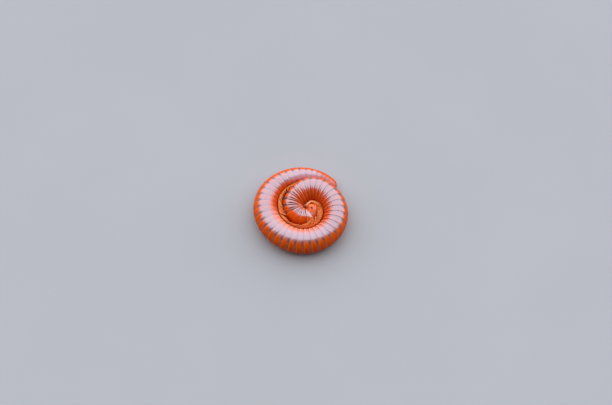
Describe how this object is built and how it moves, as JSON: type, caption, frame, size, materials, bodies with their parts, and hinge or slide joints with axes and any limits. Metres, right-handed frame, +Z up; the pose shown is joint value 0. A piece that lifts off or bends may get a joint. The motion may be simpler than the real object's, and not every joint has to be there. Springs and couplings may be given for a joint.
{
  "type": "coiled rusty millipede",
  "caption": "Cylindrical rusty-orange millipede lying on its right side, curled into a flat spiral with its head in the middle; still life-size museum model.",
  "frame": {"origin": "on the floor under the middle of the coil's outline", "axes": "+Z up from the floor, with the animal's left flank up; +X to the right of the picture, +Y away from the camera"},
  "size_m": [0.018, 0.0182, 0.0048],
  "materials": {
    "ring_shell": "glossy segmented shell, rusty orange back with a pinkish grey bloom on the flanks and amber legs",
    "tail_shell": "glossy rusty orange shell with smooth anal valves",
    "collum_shell": "glossy shield behind the head, orange with a pale hind rim",
    "head_shell": "glossy orange head capsule, paler round the mouth",
    "antenna": "satin light orange joints with fine hairs",
    "eye": "glossy near-black field of small lenses"
  },
  "bodies": {
    "root": {"head": "head_shell", "eye_left": "eye", "eye_right": "eye", "antenna_left": "antenna", "antenna_right": "antenna", "collum": "collum_shell", "trunk_1": "ring_shell", "trunk_2": "ring_shell", "trunk_3": "ring_shell", "trunk_4": "ring_shell", "trunk_5": "ring_shell", "trunk_6": "ring_shell", "trunk_7": "ring_shell", "trunk_8": "ring_shell", "tail": "tail_shell"}
  },
  "joints": []
}
